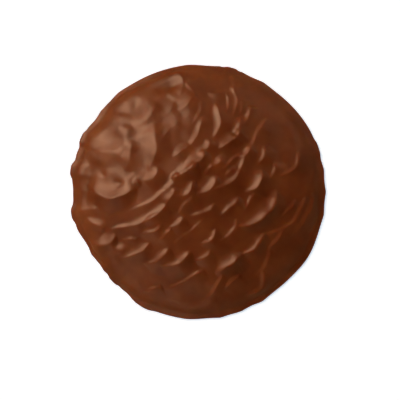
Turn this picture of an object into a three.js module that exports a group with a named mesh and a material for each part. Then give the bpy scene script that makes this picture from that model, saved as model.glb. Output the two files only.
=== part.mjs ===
import * as THREE from 'three';

// A round gingerbread under a coat of milk chocolate, lying flat.
// Millimetres, +Z up, the underside on Z = 0 and the middle of the outline on the Z axis.

const RADIUS = 46; // mean outline
const CROWN = 13.2; // top of the smooth coat, below the waves
const CAP_RADIUS = 100; // the top is part of a ball of this size
const SHOULDER = 39.5; // radius where the top begins to round over
const SIDE_RADIUS = 43.3; // the steepest spot of the side
const SIDE_HEIGHT = 2.6;
const SIDE_SLOPE = 1.0;
const EDGE_HEIGHT = 1.1; // the coat ran out to a thin edge
const EDGE_SLOPE = 0.4;
const EDGE_ROUND = 0.3;
const LEAN_X = -1.2; // the top sits off the middle of the base, as the air blew the coat across
const LEAN_Y = 0.8;
const RINGS = 43; // rings of triangles from the crown to the underside

// The outline is round apart from these stretches: bearing and half width in degrees, then how far out.
const OUTLINE_STRETCHES = [
  [20, 4, 0.5],
  [75, 3, 0.75],
  [142, 5, -0.3],
  [155, 3.5, 1.0],
  [170, 3.5, 1.1],
  [181, 5, -0.5],
  [190, 3.5, 0.8],
  [212, 4, 0.2],
  [219.5, 20, -1.65],
  [226, 3, 0.7],
  [243, 6, 0.7],
  [293, 5, -0.35],
  [311, 13, -0.5],
];
const OUTLINE_DEPTH = 6; // the higher, the closer to the edge these stretches and the lean stay
const FACETS = 21; // flat stretches between soft corners round the edge
const FACET_DEPTH = 0.4;
const FACET_WANDER = 1.6; // how unevenly the facets are spaced
const FACET_WANDERS = 5; // how often that changes round the edge
const CORNER_ROUND = 0.15;

// Blown air pushed the soft coat into scallops, the steeper the farther downwind.
const WIND_HEADING = -37;
const SLOPE_REACHES = [-36, -24, 0, 40]; // mm downwind of the middle
const FACE_SLOPES = [0.1, 0.24, 0.6, 1.05]; // slope there of a scallop's face just below its crest
const LEAST_FACING = 0.5; // a face turned from the wind is steeper, at most by one over this
const LEE_LENGTH = 4.5; // length of the slope behind a crest
const LEE_POWER = 1.5; // how hollow that slope is
const CREST_ROUND = 0.3; // twice the share of its height that a crest loses to its rounding
const RIGHT_TAPER_SPAN = 1.4; // half spans from a scallop's middle to where its right end has faded out
const RIGHT_TAPER_POWER = 1.8; // the higher, the blunter that end
const LEFT_TAPER_SPAN = 1.15;
const LEFT_TAPER_POWER = 4;
const WAVES_FULL = 0.93; // shares of the radius between which the waves die out
const WAVES_END = 0.99;

// Each scallop: its crest's middle x and y, the way it faces in degrees, its span, the length of its
// face and how far its ends trail back.
const SCALLOPS = [
  [-27.6, 24.3, -14, 7, 10, 0.5],
  [-26, 19.5, -17, 8, 10, 0.5],
  [-24.4, 13.5, -14, 9, 9, 0.5],
  [-31.5, 14.5, -85, 8, 6, 0.5],
  [-19.5, 20, -60, 6, 2.5, 0.5],
  [-17.8, 27, -47, 10, 9, 0.5],
  [-15, 16.8, -4, 14, 7, 1],
  [-15.6, 5.6, -50, 6, 4, 1],
  [-30.2, -2.4, -88, 14.5, 8, 2.8],
  [-14.5, -1.6, -56, 14, 2, 0.5],
  [-8.5, 3.5, -42, 6, 3, 0.5],
  [-5.9, 40.8, 22, 8, 5, 1.5],
  [-3.3, 32.2, -50, 7, 6, 0.5],
  [-10, 29.5, -45, 6, 4, 1],
  [0.8, 28.8, -20, 8, 1.8, 0.5],
  [7.9, 25.8, -3, 10, 3.3, 1.3],
  [13.9, 33.3, 6, 9, 2.6, 1],
  [18.2, 27.6, -8, 6, 3, 0.5],
  [14.3, 21.8, -26, 9, 3.2, 1.2],
  [20.7, 20, -30, 13, 1.9, 0.5],
  [0.1, 21.3, -27, 11, 2.5, 0.5],
  [-5.9, 14.9, -45, 6, 3, 0.5],
  [3.3, 15.8, -30, 5.5, 3, 0.7],
  [10.9, 17.7, -38, 6, 4, 0.5],
  [-4.4, 7.3, -66, 8.5, 4.5, 0.5],
  [0.4, 11.2, -45, 9, 5.5, 0.5],
  [13.5, 5.1, -41, 14.5, 2.8, 1.8],
  [17.5, 14, -42, 5, 2.8, 0.5],
  [-3.3, 0, -48, 7, 3, 1.5],
  [4.6, 1.4, -50, 8, 3.2, 1],
  [-14.5, -8, -52, 8, 3.5, 0],
  [-9.8, -2, -28, 7, 4, 0.3],
  [2.4, -7.2, -60, 8, 2, 1],
  [11.7, -5.2, -42, 8, 2.2, 0.5],
  [-7, -11.4, -60, 5.5, 2.2, 0.5],
  [21.7, 3.1, -34, 8, 4.2, 1.6],
  [23.6, 13.2, -20, 5.5, 2.5, 0.5],
  [35, 9, -35, 9, 2.2, 1.5],
  [24.8, -7.5, -42, 15, 5, 2.8],
  [34.5, -10, -42, 16, 1.7, 2],
  [20.8, -19.4, -47, 9.5, 2.8, 1],
  [-41, -6.2, -80, 9, 3.5, 0],
  [-36.6, -11.8, -122, 6.5, 3.6, 0.5],
  [-21.5, -11.6, -70, 15, 2.5, 0.8],
  [-15.8, -14.2, -60, 6.5, 3.2, 0.7],
  [-34, -19, -82, 9, 5, 2.5],
  [-22.3, -22.2, -65, 11, 3.5, 1.8],
  [-13.6, -23.8, -57, 8.5, 3, 1.2],
  [-6.4, -25, -60, 10, 3, 1],
  [2.4, -23.3, -52, 5.5, 2.3, 1],
  [5, -16.8, -45, 6.5, 2.3, 1],
  [12.2, -14, -32, 8, 1.8, 1.5],
  [12.3, -25.8, -51, 9.5, 4.3, 1.5],
];

// Soft dents in the smooth coat, or a swell where the depth is negative: x, y, length, width, heading in
// degrees, depth.
const DENTS = [
  [-22.3, 30.5, 7, 3, 90, 0.5],
  [-36, 8.2, 6, 5, 25, 0.8],
  [-11, 38.3, 14, 4, 12, 0.8],
  [-28.6, 3, 3.6, 2.6, 0, 0.5],
  [-40, 4, 20, 4.5, 85, 1.0],
  [-34, 26, 12, 5, 52, 0.5],
  [-36, -14, 7, 3.5, 0, 0.3],
  [-28, -21, 5, 4, 15, -0.9],
];

const { degToRad, euclideanModulo, smoothstep } = THREE.MathUtils;

// Carries the section on to its next point, which it reaches at the given downward slope.
function bendTo(section, fromSlope, x, z, toSlope) {
  const from = section.currentPoint;
  const cornerX = (from.y - z + fromSlope * from.x - toSlope * x) / (fromSlope - toSlope);
  const cornerZ = from.y - fromSlope * (cornerX - from.x);
  section.quadraticCurveTo(cornerX, cornerZ, x, z);
}

// Half section of the smooth coat, from the crown over the shoulder and down the side to the underside.
function coatSection() {
  const capTurn = Math.asin(SHOULDER / CAP_RADIUS);
  const section = new THREE.Path();
  section.moveTo(0, CROWN);
  section.absarc(0, CROWN - CAP_RADIUS, CAP_RADIUS, Math.PI / 2, Math.PI / 2 - capTurn, true);
  bendTo(section, Math.tan(capTurn), SIDE_RADIUS, SIDE_HEIGHT, SIDE_SLOPE);
  bendTo(section, SIDE_SLOPE, RADIUS - EDGE_ROUND, EDGE_HEIGHT, EDGE_SLOPE);
  const edge = new THREE.Vector2(RADIUS, EDGE_ROUND);
  const underEdge = new THREE.Vector2(RADIUS - EDGE_ROUND, 0);
  return [...section.getSpacedPoints(RINGS - 2), edge, underEdge];
}

function outlineRadius(angle) {
  const phase = Math.sin((FACETS / 2) * angle + FACET_WANDER * Math.sin(FACET_WANDERS * angle));
  let radius = RADIUS + FACET_DEPTH * (2 / Math.PI - Math.hypot(phase, CORNER_ROUND));
  for (const [bearing, halfWidth, out] of OUTLINE_STRETCHES) {
    const turn = euclideanModulo(angle - degToRad(bearing) + Math.PI, 2 * Math.PI) - Math.PI;
    radius += out * Math.exp(-((turn / degToRad(halfWidth)) ** 4));
  }
  return radius;
}

// Position of (x, y) relative to a middle point: ahead of it along a heading, and to its left.
function localPosition(x, y, middleX, middleY, heading) {
  const dx = x - middleX;
  const dy = y - middleY;
  const c = Math.cos(degToRad(heading));
  const s = Math.sin(degToRad(heading));
  return [dx * c + dy * s, dy * c - dx * s];
}

const slopeDownwind = new THREE.LinearInterpolant(SLOPE_REACHES, FACE_SLOPES, 1);

function faceSlope(x, y, heading) {
  const [downwind] = localPosition(x, y, 0, 0, WIND_HEADING);
  const [slope] = slopeDownwind.evaluate(downwind);
  const facing = Math.cos(degToRad(heading - WIND_HEADING));
  return slope / Math.max(facing, LEAST_FACING);
}

// A scallop rises in a hollow curve to its crest, falls away behind it and tapers at both ends, of which
// the left one is blunter.
function scallopHeight(x, y, [middleX, middleY, heading, span, face, trail]) {
  const [ahead, left] = localPosition(x, y, middleX, middleY, heading);
  const along = left / (span / 2);
  const taper =
    along < 0
      ? 1 - (-along / RIGHT_TAPER_SPAN) ** RIGHT_TAPER_POWER
      : 1 - (along / LEFT_TAPER_SPAN) ** LEFT_TAPER_POWER;
  if (taper <= 0) {
    return 0;
  }
  const pastCrest = ahead + trail * along ** 2;
  const rise = (taper * face * faceSlope(middleX, middleY, heading)) / 2;
  const climb = Math.max(0, 1 + pastCrest / (taper * face)) ** 2;
  const fall = Math.max(0, 1 - pastCrest / LEE_LENGTH) ** LEE_POWER;
  return (rise * (climb + fall - Math.hypot(climb - fall, CREST_ROUND))) / 2;
}

function dentHeight(x, y, [middleX, middleY, length, width, heading, depth]) {
  const [ahead, left] = localPosition(x, y, middleX, middleY, heading);
  return -depth * Math.exp(-((ahead / (length / 2)) ** 2) - (left / (width / 2)) ** 2);
}

// Height of the waves at (x, y), where share is how far out that is on the smooth coat.
function coatRelief(x, y, share) {
  let height = 0;
  for (const scallop of SCALLOPS) {
    height += scallopHeight(x, y, scallop);
  }
  for (const dent of DENTS) {
    height += dentHeight(x, y, dent);
  }
  return height * (1 - smoothstep(share, WAVES_FULL, WAVES_END));
}

// Ring 0 is the crown's single point, and ring n has 6n points, so that all triangles are alike in size.
function ringPoints() {
  const section = coatSection();
  const points = [];
  for (let ring = 0; ring <= RINGS; ring += 1) {
    const { x: radius, y: z } = section[ring];
    const share = radius / RADIUS;
    const before = section[Math.max(ring - 1, 0)];
    const after = section[Math.min(ring + 1, RINGS)];
    const normal = new THREE.Vector2(before.y - after.y, after.x - before.x).normalize();
    const inside = 1 - share ** OUTLINE_DEPTH;
    const count = Math.max(1, 6 * ring);
    for (let step = 0; step < count; step += 1) {
      const angle = (2 * Math.PI * step) / count;
      const c = Math.cos(angle);
      const s = Math.sin(angle);
      const reach = radius * (1 + (outlineRadius(angle) / RADIUS - 1) * (1 - inside));
      const x = reach * c + LEAN_X * inside;
      const y = reach * s + LEAN_Y * inside;
      const relief = coatRelief(x, y, share);
      points.push(x + relief * normal.x * c, y + relief * normal.x * s, z + relief * normal.y);
    }
  }
  return points;
}

function firstOfRing(ring) {
  return ring === 0 ? 0 : 1 + 3 * ring * (ring - 1);
}

function ringTriangles() {
  const triangles = [];
  for (let ring = 0; ring < RINGS; ring += 1) {
    const inner = (index) => firstOfRing(ring) + (index % Math.max(1, 6 * ring));
    const outer = (index) => firstOfRing(ring + 1) + (index % (6 * (ring + 1)));
    for (let sector = 0; sector < 6; sector += 1) {
      for (let step = 0; step <= ring; step += 1) {
        const near = sector * ring + step;
        const far = sector * (ring + 1) + step;
        triangles.push(inner(near), outer(far), outer(far + 1));
        if (step < ring) {
          triangles.push(inner(near), outer(far + 1), inner(near + 1));
        }
      }
    }
  }
  return triangles;
}

function cookieGeometry() {
  const points = ringPoints();
  const triangles = ringTriangles();
  const underside = points.length / 3;
  points.push(0, 0, 0);
  const edge = firstOfRing(RINGS);
  const edgeCount = 6 * RINGS;
  for (let step = 0; step < edgeCount; step += 1) {
    triangles.push(underside, edge + ((step + 1) % edgeCount), edge + step);
  }
  const geometry = new THREE.BufferGeometry();
  geometry.setAttribute('position', new THREE.Float32BufferAttribute(points, 3));
  geometry.setIndex(triangles);
  geometry.computeBoundingBox();
  const middle = geometry.boundingBox.getCenter(new THREE.Vector3());
  geometry.translate(-middle.x, -middle.y, 0);
  geometry.computeVertexNormals();
  return geometry;
}

const chocolate = new THREE.MeshStandardMaterial({ color: 0x66341c, roughness: 0.35, metalness: 0 });

const cookie = new THREE.Mesh(cookieGeometry(), chocolate);
cookie.name = 'cookie';

const part = new THREE.Group();
part.add(cookie);

export default part;
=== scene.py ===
import math

import bpy
import numpy as np
from mathutils import Matrix, Vector, noise


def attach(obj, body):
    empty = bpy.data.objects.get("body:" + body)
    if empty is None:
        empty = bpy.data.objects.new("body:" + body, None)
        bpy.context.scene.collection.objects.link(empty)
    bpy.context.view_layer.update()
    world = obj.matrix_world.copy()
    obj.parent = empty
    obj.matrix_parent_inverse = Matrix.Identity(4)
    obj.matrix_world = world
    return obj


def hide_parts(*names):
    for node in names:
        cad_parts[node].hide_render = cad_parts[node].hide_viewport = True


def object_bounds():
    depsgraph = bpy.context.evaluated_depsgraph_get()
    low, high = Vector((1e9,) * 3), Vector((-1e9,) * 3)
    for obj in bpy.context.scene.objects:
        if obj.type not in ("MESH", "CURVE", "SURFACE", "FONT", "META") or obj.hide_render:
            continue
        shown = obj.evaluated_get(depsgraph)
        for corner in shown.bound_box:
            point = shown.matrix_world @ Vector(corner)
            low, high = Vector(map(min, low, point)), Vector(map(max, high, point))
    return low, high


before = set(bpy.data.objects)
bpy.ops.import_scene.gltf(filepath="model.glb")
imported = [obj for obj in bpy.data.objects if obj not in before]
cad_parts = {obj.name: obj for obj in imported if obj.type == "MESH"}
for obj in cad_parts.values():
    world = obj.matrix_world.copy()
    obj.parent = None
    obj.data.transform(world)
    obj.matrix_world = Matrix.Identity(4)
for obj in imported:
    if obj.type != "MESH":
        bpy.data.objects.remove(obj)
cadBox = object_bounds()
mm = 0.001  # every size below is in millimetres and meets the frame's metres here
print("frame loaded, CAD box", [tuple(round(c / mm, 1) for c in corner) for corner in cadBox])

# The cookie's body: a gently domed top, a rounded shoulder and a thin edge where the coat ran out
body = {
    "radius": 46.0,  # mean outline
    "crown": 13.2,
    "capRadius": 100.0,  # the top is part of a ball of this size
    "shoulder": 39.5,  # where the top begins to round over
    "side": (43.3, 2.6),  # radius and height of the steepest spot of the side
    "sideSlope": 1.0,
    "edgeSlope": 0.4,
    "edgeHeight": 1.1,
    "edgeRound": 0.3,
    "rimSlope": 50,  # all but upright
    "lean": (-1.2, 0.8),  # the top sits off the middle of the base, as the air blew the coat across
    "capSteps": 400,  # points along the section, before it is spaced evenly
    "bendSteps": 60,
    "rings": 176,  # 6 * rings ** 2 triangles on the coat
    "outlineDepth": 6,  # the higher, the closer to the edge the outline's dents stay
    "facets": (21, 0.4, 1.6, 5),  # flat stretches between corners: count, depth, wander, count of the wander
    "cornerRound": 0.15,
    "stretchPower": 4,  # the higher, the more abruptly a stretch of the outline begins and ends
    "outlineStretches": [  # bearing and half width in degrees, how far out
        (20, 4, 0.5), (75, 3, 0.75), (142, 5, -0.3), (155, 3.5, 1.0), (170, 3.5, 1.1), (181, 5, -0.5),
        (190, 3.5, 0.8), (212, 4, 0.2), (219.5, 20, -1.65), (226, 3, 0.7), (243, 6, 0.7), (293, 5, -0.35),
        (311, 13, -0.5),
    ],
}


# A smooth bend between two points that leaves and arrives at the given downward slopes
def bendPoints(start, startSlope, end, endSlope):
    r = (start[1] - end[1] + startSlope * start[0] - endSlope * end[0]) / (startSlope - endSlope)
    corner = np.array([r, start[1] - startSlope * (r - start[0])])
    t = np.linspace(0, 1, body["bendSteps"])[:, None]
    return (1 - t) ** 2 * np.array(start) + 2 * t * (1 - t) * corner + t ** 2 * np.array(end)


# Half section of the smooth body, evenly spaced from the crown to the underside's edge
def bodySection():
    radius, edge, ball = body["radius"], body["edgeRound"], body["capRadius"]
    turn = np.linspace(0, math.asin(body["shoulder"] / ball), body["capSteps"])
    cap = np.stack([ball * np.sin(turn), body["crown"] - ball * (1 - np.cos(turn))], 1)
    edgeTop = (radius - edge, body["edgeHeight"])
    shoulder = bendPoints(cap[-1], math.tan(turn[-1]), body["side"], body["sideSlope"])
    runOut = bendPoints(body["side"], body["sideSlope"], edgeTop, body["edgeSlope"])
    rim = bendPoints(edgeTop, body["edgeSlope"], (radius, edge), body["rimSlope"])
    under = bendPoints((radius, edge), body["rimSlope"], (radius - edge, 0), 0)
    line = np.concatenate([cap, shoulder[1:], runOut[1:], rim[1:], under[1:]])
    travelled = np.concatenate([[0], np.cumsum(np.linalg.norm(np.diff(line, axis=0), axis=1))])
    stops = np.linspace(0, travelled[-1], body["rings"] + 1)
    return np.stack([np.interp(stops, travelled, line[:, 0]), np.interp(stops, travelled, line[:, 1])], 1)


def outlineRadius(angle):
    radius = np.full_like(angle, body["radius"])
    count, depth, wander, wanderCount = body["facets"]
    phase = np.sin(count / 2 * angle + wander * np.sin(wanderCount * angle))
    radius += depth * (2 / np.pi - np.hypot(phase, body["cornerRound"]))
    for bearing, halfWidth, out in body["outlineStretches"]:
        turn = np.degrees((angle - math.radians(bearing) + np.pi) % (2 * np.pi) - np.pi)
        radius += out * np.exp(-(turn / halfWidth) ** body["stretchPower"])
    return radius


# The waves: air blew the soft coat into scallops that fan out from one spot near the edge
waves = {
    "fanSpot": (-41.5, 33.0),
    "windHeading": -37,  # degrees, the way the air blew across the cookie
    "slopeReach": (-36, -24, 0, 40),  # mm downwind of the middle
    "faceSlope": (0.1, 0.24, 0.6, 1.05),  # slope there of a scallop's face just below its crest
    "leastFacing": 0.5,  # a face turned from the wind is steeper, at most by one over this
    "climbPower": 2.0,  # how hollow the face is: the higher, the later it turns up
    "leeLength": 6.0,  # length of the slope behind a crest
    "leePower": 1.5,
    "settling": (16, 4),  # rounds of smoothing near the spot and away from it: the coat set slower there
    "settledReach": (22, 40),  # mm from the spot between which that changes
    "wobbles": [(0.3, 2.0), (0.07, 0.8)],  # wander of a crest along its span, and the length of a turn
    "taperSpan": (1.4, 1.15),  # half spans from the middle to where its right and left ends fade out
    "taperPower": (1.8, 4.0),  # the higher, the blunter that end
    "leastTaper": 0.001,
    "fullShare": 0.93,  # shares of the radius between which the waves die out
    "endShare": 0.99,
    "scallops": [  # crest's middle x and y, the way it faces, span, length of its face, trail of its ends
        # below the spot
        (-27.6, 24.3, -14, 7, 10, 0.5), (-26, 19.5, -17, 8, 10, 0.5), (-24.4, 13.5, -14, 9, 9, 0.5),
        (-31.5, 14.5, -85, 8, 6, 0.5), (-19.5, 20, -60, 6, 2.5, 0.5), (-25, 4.6, -45, 6, 1.5, 0.3),
        (-17.8, 27, -47, 10, 9, 0.5), (-15, 16.8, -4, 14, 7, 1), (-15.6, 5.6, -50, 6, 4, 1),
        (-30.2, -2.4, -88, 14.5, 8, 2.8), (-14.5, -1.6, -56, 14, 2, 0.5), (-8.9, 3.8, -42, 6, 3, 0.5),
        # along the top
        (-5.9, 40.8, 22, 8, 5, 1.5), (-3.3, 32.2, -50, 7, 6, 0.5), (-10, 29.5, -45, 6, 4, 1),
        (0.8, 28.8, -20, 8, 1.8, 0.5), (7.9, 25.8, -3, 10, 3.3, 1.3), (10.8, 32.3, 8, 6, 1.3, 1),
        (13.9, 33.3, 6, 9, 2.6, 1), (18.2, 27.6, -8, 6, 3, 0.5), (14.3, 21.8, -26, 9, 3.2, 1.2),
        (14.1, 20, -40, 4, 3, 0.3), (20.7, 20, -30, 13, 1.9, 0.5),
        (-2.8, 37.2, 37, 5, 1.6, 0.3), (6.8, 35.3, -79, 5, 1.6, 0.5), (12.8, 39.3, 14, 5, 1.5, 0.3),
        (15.8, 30.3, -10, 4, 2, 0.5), (-9.2, 33.9, 40, 5, 1.8, 0.3), (-1, 40.6, -60, 4, 2, 0.5),
        # the middle
        (-10.5, 22.5, -45, 8, 2, 0), (0.1, 21.3, -27, 11, 2.5, 0.5), (-5.9, 14.9, -45, 6, 3, 0.5),
        (3.3, 15.8, -30, 5.5, 3, 0.7), (10.9, 17.7, -38, 6, 4, 0.5), (-4.4, 7.3, -66, 8.5, 4.5, 0.5),
        (0.1, 10.9, -45, 8, 5.5, 0.5), (6.8, 10, -45, 5, 2, 0.5), (12, 11.5, -50, 8, 1.2, 0),
        (13.5, 5.1, -41, 14.5, 2.8, 1.8), (17.5, 14, -42, 5, 2.8, 0.5),
        (-3.3, 0, -48, 7, 3, 1.5), (4.6, 1.4, -50, 8, 3.2, 1), (-14.5, -8, -52, 8, 3.5, 0),
        (-9.8, -2, -28, 7, 4, 0.3),
        (-4.7, -4.2, -40, 7, 1.3, 0), (2.4, -7.2, -60, 8, 2, 1), (11.7, -5.2, -42, 8, 2.2, 0.5),
        (-7, -11.4, -60, 5.5, 2.2, 0.5), (-3, -14.3, -50, 12, 0.9, 0),
        (3.9, 8.4, -31, 4, 1.5, 0.3), (7.4, 11.9, -45, 4, 1.5, 0.3), (11.5, 7.6, -39, 4, 1.5, 0.3),
        # the right side
        (21.7, 3.1, -34, 8, 4.2, 1.6), (23.6, 13.2, -20, 5.5, 2.5, 0.5), (27.4, 7.8, -10, 5, 1.5, 0.5),
        (35, 9, -35, 9, 2.2, 1.5), (18.3, -3, -35, 6, 1.3, 0), (24.2, -7.7, -43, 15, 5, 2.6),
        (32.5, -5.8, -40, 7, 1.3, 0.5), (34.5, -10, -42, 16, 1.7, 2), (28, -17.5, -35, 8, 1.4, 0),
        (20.8, -19.4, -47, 9.5, 2.8, 1), (24.5, -25.5, -30, 8, 1.4, 1), (23, -34, -30, 9, 1.5, 2),
        (39, -8, -25, 14, 1.4, 1.5),
        # the left side
        (-41, -6.2, -80, 9, 3.5, 0), (-36.6, -11.8, -122, 6.5, 3.6, 0.5), (-21.5, -11.6, -70, 15, 2.5, 0.8),
        (-15.8, -14.2, -60, 6.5, 3.2, 0.7), (-11.7, -15.2, -50, 5, 1.5, 0), (-34, -19, -82, 9, 5, 2.5),
        (-24.9, -16.8, -65, 3.5, 1.2, 0.5), (-23, -17, -65, 3, 1.2, 0.5),
        # along the bottom
        (-22.3, -22.2, -65, 11, 3.5, 1.8), (-13.6, -23.8, -57, 8.5, 3, 1.2), (-6.6, -25.4, -61, 9.5, 3, 1),
        (2.4, -23.3, -52, 5.5, 2.3, 1), (5, -16.8, -45, 6.5, 2.3, 1), (12.2, -14, -32, 8, 1.8, 1.5),
        (11.6, -25.6, -49, 9.5, 4.3, 0.3), (-4.1, -31.6, -62, 13, 1.5, 0), (12.3, -31.7, -45, 6, 1.6, 0),
        (6, -34.5, -35, 10, 1.5, 1), (-16.3, -34.8, -65, 6, 1.4, 0),
    ],
    "dents": [  # x, y, length, width, heading, depth: soft hollows, or swells where the depth is negative
        (-22.3, 30.5, 7, 3, 90, 0.5),
        (-36, 8.2, 6, 5, 25, 0.8),
        (-11, 38.3, 14, 4, 12, 0.8),
        (-34.4, 6.2, 1.8, 1.5, 0, 0.3),
        (-28.6, 3, 3.6, 2.6, 0, 0.5),
        (-21.8, 3.4, 1.8, 1.8, 0, -0.9),  # a bead left by an air bubble
        (-40, 4, 20, 4.5, 85, 1.0),
        (-34, 26, 12, 5, 52, 0.5),
        (-36, -14, 7, 3.5, 0, 0.3),
        (-28, -21, 5, 4, 15, -0.9),
    ],
    "lumps": [(7.0, 0.3), (3.0, 0.1)],  # size and height of the coat's unevenness
}


# How far ahead of a middle point along a heading, and how far to its left
def localPosition(x, y, middle, heading):
    dx, dy = x - middle[0], y - middle[1]
    c, s = math.cos(math.radians(heading)), math.sin(math.radians(heading))
    return dx * c + dy * s, dy * c - dx * s


def scallopHeight(x, y, scallop):
    middleX, middleY, heading, span, face, trail = scallop
    spotX, spotY = waves["fanSpot"]
    distance = math.hypot(middleX - spotX, middleY - spotY)
    ahead, left = localPosition(x, y, (middleX, middleY), heading)
    along = left / (span / 2)
    reach, power = (np.where(along < 0, *waves[name]) for name in ("taperSpan", "taperPower"))
    taper = np.clip(1 - np.abs(along / reach) ** power, waves["leastTaper"], None)
    pastCrest = ahead + trail * along ** 2
    for swing, length in waves["wobbles"]:
        pastCrest += swing * (np.sin(left / length + distance) - math.sin(distance))
    downwind = localPosition(middleX, middleY, (0, 0), waves["windHeading"])[0]
    slope = np.interp(downwind, waves["slopeReach"], waves["faceSlope"])
    slope /= max(waves["leastFacing"], math.cos(math.radians(heading - waves["windHeading"])))
    rise = taper * face * slope / waves["climbPower"]
    climb = rise * np.maximum(0, 1 + pastCrest / (taper * face)) ** waves["climbPower"]
    fall = rise * np.maximum(0, 1 - pastCrest / waves["leeLength"]) ** waves["leePower"]
    return np.minimum(climb, fall)


def dentHeight(x, y, dent):
    middleX, middleY, length, width, heading, depth = dent
    ahead, left = localPosition(x, y, (middleX, middleY), heading)
    return -depth * np.exp(-(ahead / (length / 2)) ** 2 - (left / (width / 2)) ** 2)


def lumpHeight(x, y, z):
    total = np.zeros_like(x)
    for size, height in waves["lumps"]:
        total += [height * noise.noise(Vector(p) / size) for p in zip(x, y, z)]
    return total


# The soft coat's own tension rounds off what the air left: every point moves towards its neighbours' mean
def settle(height, triangles, rounds):
    near, far = np.concatenate([triangles[:, [0, 1]], triangles[:, [1, 2]], triangles[:, [2, 0]]]).T
    neighbours = np.bincount(near)
    for _ in range(rounds):
        height = (height + np.bincount(near, height[far]) / neighbours) / 2
    return height


def coatRelief(x, y, z, share):
    height = lumpHeight(x, y, z)
    for dent in waves["dents"]:
        height += dentHeight(x, y, dent)
    for scallop in waves["scallops"]:
        height += scallopHeight(x, y, scallop)
    triangles = coatTriangles()
    late, early = waves["settling"]
    crisp = settle(height, triangles, early)
    distance = np.hypot(x - waves["fanSpot"][0], y - waves["fanSpot"][1])
    away = np.interp(distance, waves["settledReach"], (0, 1))
    height = crisp * away + settle(crisp, triangles, late - early) * (1 - away)
    t = np.clip((share - waves["fullShare"]) / (waves["endShare"] - waves["fullShare"]), 0, 1)
    return height * (1 - t * t * (3 - 2 * t))  # an even fade towards the edge


# Ring n has 6n points, so the triangles are alike from the crown to the edge
def coatPoints():
    section = bodySection()
    slope = np.gradient(section, axis=0)
    normal = np.stack([-slope[:, 1], slope[:, 0]], 1)
    normal /= np.linalg.norm(normal, axis=1, keepdims=True)
    counts = [max(1, 6 * ring) for ring in range(body["rings"] + 1)]
    ring = np.repeat(np.arange(body["rings"] + 1), counts)
    angle = np.concatenate([np.arange(n) * (2 * np.pi / n) for n in counts])
    radius, z = section[ring].T
    share = radius / body["radius"]
    reach = radius * (1 + (outlineRadius(angle) / body["radius"] - 1) * share ** body["outlineDepth"])
    leanX, leanY = np.outer(body["lean"], 1 - share ** body["outlineDepth"])
    x, y = reach * np.cos(angle) + leanX, reach * np.sin(angle) + leanY
    relief = coatRelief(x, y, z, share)
    outward, upward = relief * normal[ring].T
    return np.stack([x + outward * np.cos(angle), y + outward * np.sin(angle), z + upward], 1)


def firstOfRing(ring):
    return 0 if ring == 0 else 1 + 3 * ring * (ring - 1)


def coatTriangles():
    strips = []
    for ring in range(body["rings"]):
        inner, outer = firstOfRing(ring), firstOfRing(ring + 1)
        innerCount, outerCount = max(1, 6 * ring), 6 * (ring + 1)
        sector, step = np.divmod(np.arange(outerCount), ring + 1)
        near, far = sector * ring + step, np.arange(outerCount)
        strips.append(np.stack([inner + near % innerCount, outer + far, outer + (far + 1) % outerCount], 1))
        near, far = near[step < ring], far[step < ring]
        strips.append(np.stack([
            inner + near % innerCount, outer + (far + 1) % outerCount, inner + (near + 1) % innerCount], 1))
    return np.concatenate(strips)


def makeCookie():
    points, triangles = coatPoints(), coatTriangles()
    low, high = (np.array(corner) / mm for corner in cadBox)
    points[:, :2] += (low + high)[:2] / 2 - (points.min(0) + points.max(0))[:2] / 2
    edge, edgeCount = firstOfRing(body["rings"]), 6 * body["rings"]
    underside = [list(range(edge + edgeCount - 1, edge - 1, -1))]
    mesh = bpy.data.meshes.new("chocolateCookie")
    mesh.from_pydata((points * mm).tolist(), [], triangles.tolist() + underside)
    mesh.shade_smooth()
    mesh.polygons[len(mesh.polygons) - 1].use_smooth = False
    cookie = bpy.data.objects.new("chocolateCookie", mesh)
    bpy.context.scene.collection.objects.link(cookie)
    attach(cookie, "root")
    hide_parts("cookie")
    print("cookie made,", len(mesh.vertices), "points,", len(triangles), "triangles on the coat")
    return cookie


def hexToLinear(hexColour):
    parts = [int(hexColour[i:i + 2], 16) / 255 for i in (0, 2, 4)]
    return tuple(c / 12.92 if c <= 0.04045 else ((c + 0.055) / 1.055) ** 2.4 for c in parts) + (1.0,)


def addNode(tree, kind, settings=None, inputs=None, links=None):
    node = tree.nodes.new(kind)
    for name, value in (settings or {}).items():
        setattr(node, name, value)
    for name, value in (inputs or {}).items():
        node.inputs[name].default_value = value
    for name, source in (links or {}).items():
        tree.links.new(source, node.inputs[name])
    return node


# Milk chocolate, poured over and set in cool air: an even warm brown, a soft gloss that blurs what it
# mirrors, faint mottling where the cocoa butter set unevenly
chocolate = {
    "light": "804b28",
    "dark": "6a3819",
    "mottleSize": 9.0,  # mm
    "mottleDetail": 3.0,
    "patchDetail": 2.0,  # of the gloss and of the grain
    "patchRange": (0.3, 0.7),  # values of a pattern between which it blends from one look to the other
    "roughness": (0.34, 0.4),
    "sheenPatchSize": 6.0,  # mm, patches of duller and brighter gloss
    "grainSize": 0.5,  # mm, the finest unevenness of the skin
    "grainHeight": 0.012,  # mm
    "ior": 1.46,
    "specular": 0.56,
    "scatter": 0.7,  # share of the light that spreads under the skin and comes out redder
    "scatterDepth": 3.0,  # mm
    "scatterShares": (1.0, 0.3, 0.1),  # of that depth, for red, green and blue
}


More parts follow.
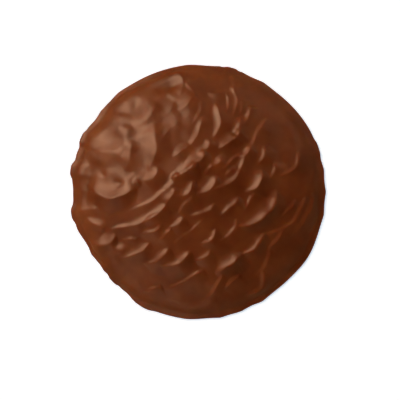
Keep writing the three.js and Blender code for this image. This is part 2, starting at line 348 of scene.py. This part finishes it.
def milkChocolate():
    material = bpy.data.materials.new("milkChocolatePouredAndBlown")
    material.use_nodes = True
    tree = material.node_tree
    tree.nodes.clear()
    place = addNode(tree, "ShaderNodeTexCoord").outputs["Object"]
    mottle = addNode(tree, "ShaderNodeTexNoise", None,
                     {"Scale": 1 / (chocolate["mottleSize"] * mm), "Detail": chocolate["mottleDetail"]},
                     {"Vector": place})
    first, last = chocolate["patchRange"]
    spread = addNode(tree, "ShaderNodeMapRange", None, {"From Min": first, "From Max": last},
                     {"Value": mottle.outputs["Fac"]})
    colour = addNode(tree, "ShaderNodeMix", {"data_type": "RGBA"}, None, {0: spread.outputs["Result"]})
    colour.inputs[6].default_value = hexToLinear(chocolate["dark"])
    colour.inputs[7].default_value = hexToLinear(chocolate["light"])
    patches = addNode(tree, "ShaderNodeTexNoise", None,
                      {"Scale": 1 / (chocolate["sheenPatchSize"] * mm), "Detail": chocolate["patchDetail"]},
                      {"Vector": place})
    low, high = chocolate["roughness"]
    gloss = addNode(tree, "ShaderNodeMapRange", None,
                    {"From Min": first, "From Max": last, "To Min": low, "To Max": high},
                    {"Value": patches.outputs["Fac"]})
    grain = addNode(tree, "ShaderNodeTexNoise", None,
                    {"Scale": 1 / (chocolate["grainSize"] * mm), "Detail": chocolate["patchDetail"]},
                    {"Vector": place})
    skin = addNode(tree, "ShaderNodeBump", None,
                   {"Strength": 1.0, "Distance": chocolate["grainHeight"] * mm},
                   {"Height": grain.outputs["Fac"]})
    shader = addNode(tree, "ShaderNodeBsdfPrincipled", None,
                     {"IOR": chocolate["ior"], "Specular IOR Level": chocolate["specular"],
                      "Subsurface Weight": chocolate["scatter"],
                      "Subsurface Scale": chocolate["scatterDepth"] * mm,
                      "Subsurface Radius": chocolate["scatterShares"]},
                     {"Base Color": colour.outputs[2], "Roughness": gloss.outputs["Result"],
                      "Normal": skin.outputs["Normal"]})
    addNode(tree, "ShaderNodeOutputMaterial", None, None, {"Surface": shader.outputs["BSDF"]})
    return material


cookie = makeCookie()
cookie.data.materials.append(milkChocolate())
print("chocolate applied")

# The stage: a white floor with a glow of its own, as in a light box, and dim surroundings
stage = {
    "floorSize": 6.0,  # metres
    "floorColour": "d2e6f0",
    "floorGlow": "cddae7",
    "floorRoughness": 0.9,
    "horizon": "74522e",  # surroundings, warm and dim round the table and darker overhead
    "zenith": "14110e",
    "horizonTop": 0.12,  # sines of the elevations between which they darken
    "zenithFrom": 0.55,
}


def makeFloor():
    half = stage["floorSize"] / 2
    mesh = bpy.data.meshes.new("floor")
    corners = [(-half, -half, 0), (half, -half, 0), (half, half, 0), (-half, half, 0)]
    mesh.from_pydata(corners, [], [(0, 1, 2, 3)])
    floor = bpy.data.objects.new("floor", mesh)
    bpy.context.scene.collection.objects.link(floor)
    material = bpy.data.materials.new("whiteLightBoxAcrylic")
    material.use_nodes = True
    shader = material.node_tree.nodes["Principled BSDF"]
    shader.inputs["Base Color"].default_value = hexToLinear(stage["floorColour"])
    shader.inputs["Roughness"].default_value = stage["floorRoughness"]
    shader.inputs["Specular IOR Level"].default_value = 0.0
    shader.inputs["Emission Color"].default_value = hexToLinear(stage["floorGlow"])
    shader.inputs["Emission Strength"].default_value = 1.0
    mesh.materials.append(material)
    floor.visible_glossy = False  # the glow lights the cookie's edge but is not mirrored in it


def makeSurroundings():
    world = bpy.data.worlds.new("studio")
    bpy.context.scene.world = world
    world.use_nodes = True
    tree = world.node_tree
    tree.nodes.clear()
    way = addNode(tree, "ShaderNodeTexCoord").outputs["Generated"]
    height = addNode(tree, "ShaderNodeSeparateXYZ", None, None, {"Vector": way})
    rise = addNode(tree, "ShaderNodeMapRange", {"interpolation_type": "SMOOTHSTEP"},
                   {"From Min": stage["horizonTop"], "From Max": stage["zenithFrom"]},
                   {"Value": height.outputs["Z"]})
    colour = addNode(tree, "ShaderNodeMix", {"data_type": "RGBA"}, None, {0: rise.outputs["Result"]})
    colour.inputs[6].default_value = hexToLinear(stage["horizon"])
    colour.inputs[7].default_value = hexToLinear(stage["zenith"])
    background = addNode(tree, "ShaderNodeBackground", None, {"Strength": 1.0}, {"Color": colour.outputs[2]})
    addNode(tree, "ShaderNodeOutputWorld", None, None, {"Surface": background.outputs["Background"]})


# A large warm softbox at the upper left of the photo, and two dim cards that fill in below and at the right
lights = {
    "softbox": {
        "azimuth": 143,  # degrees, counted from +X
        "elevation": 46,
        "distance": 0.6,  # metres
        "size": (0.72, 0.72),  # metres
        "spread": 50,  # degrees, dims the box towards its edges
        "colour": "f6c7a0",
        "power": 1.44,
    },
    "lowerCard": {
        "azimuth": 242, "elevation": 32, "distance": 0.7, "size": (0.7, 0.3), "spread": 180,
        "colour": "ffe0c0", "power": 0.5,
    },
    "rightCard": {
        "azimuth": 48, "elevation": 32, "distance": 0.7, "size": (0.7, 0.3), "spread": 180,
        "colour": "ffe0c0", "power": 0.36,
    },
}


def makeLight(name, look):
    width, height = look["size"]
    data = bpy.data.lights.new(name, "AREA")
    data.shape = "RECTANGLE"
    data.size, data.size_y = width, height
    data.color = hexToLinear(look["colour"])[:3]
    data.energy = look["power"]
    data.spread = math.radians(look["spread"])
    light = bpy.data.objects.new(name, data)
    bpy.context.scene.collection.objects.link(light)
    turn, rise = math.radians(look["azimuth"]), math.radians(look["elevation"])
    way = Vector((math.cos(turn) * math.cos(rise), math.sin(turn) * math.cos(rise), math.sin(rise)))
    light.location = way * look["distance"]
    light.rotation_euler = way.to_track_quat("Z", "Y").to_euler()


# The photo looks straight down; the cookie is a little left of and above the middle of the picture
view = {
    "imageSize": 400,  # pixels
    "cookieMiddle": (198, 192),  # pixels
    "cookieRadius": 127.06,  # pixels
    "distance": 0.9,  # metres above the table
    "sensor": 36.0,  # mm
}


def makeCamera():
    pixel = body["radius"] / view["cookieRadius"]  # mm on the table
    data = bpy.data.cameras.new("camera")
    data.sensor_width = view["sensor"]
    data.lens = view["sensor"] * view["distance"] / (view["imageSize"] * pixel * mm)
    camera = bpy.data.objects.new("camera", data)
    bpy.context.scene.collection.objects.link(camera)
    middle = view["imageSize"] / 2
    column, row = view["cookieMiddle"]
    aim = Vector(((middle - column) * pixel, (row - middle) * pixel, 0)) * mm
    camera.matrix_world = Matrix.Translation(aim + Vector((0, 0, view["distance"])))
    bpy.context.scene.camera = camera


makeFloor()
makeSurroundings()
for name, look in lights.items():
    makeLight(name, look)
makeCamera()
bpy.context.scene.view_settings.view_transform = "Standard"
print("stage, light and camera set")
